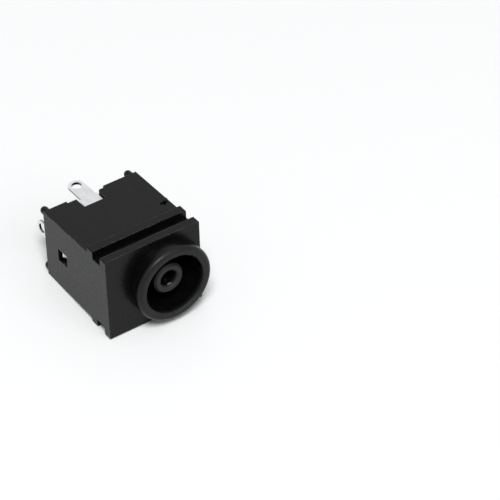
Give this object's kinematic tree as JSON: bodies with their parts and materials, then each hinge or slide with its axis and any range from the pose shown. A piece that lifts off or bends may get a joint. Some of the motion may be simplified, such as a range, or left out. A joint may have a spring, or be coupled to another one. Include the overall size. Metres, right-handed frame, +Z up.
{
  "type": "dc barrel jack",
  "caption": "Panel-slot barrel power socket with a centre post, a folded sleeve spring, a break switch contact and solder lugs.",
  "frame": {"origin": "on the plug axis, in the plane of the flange's panel side", "axes": "+Y along the plug axis into the body towards the solder lugs, +Z up to the side with the switch lug, +X to the right seen from the mating side"},
  "size_m": [0.0117, 0.0169, 0.0101],
  "materials": {
    "black_plastic": "fine satin of a moulded glass-filled plastic",
    "tinned_sheet": "bright tin plate over stamped copper alloy"
  },
  "bodies": {
    "root": {"housing": "black_plastic", "sleeve_contact": "tinned_sheet", "switch_contact": "tinned_sheet", "pin_contact": "tinned_sheet"}
  },
  "joints": []
}
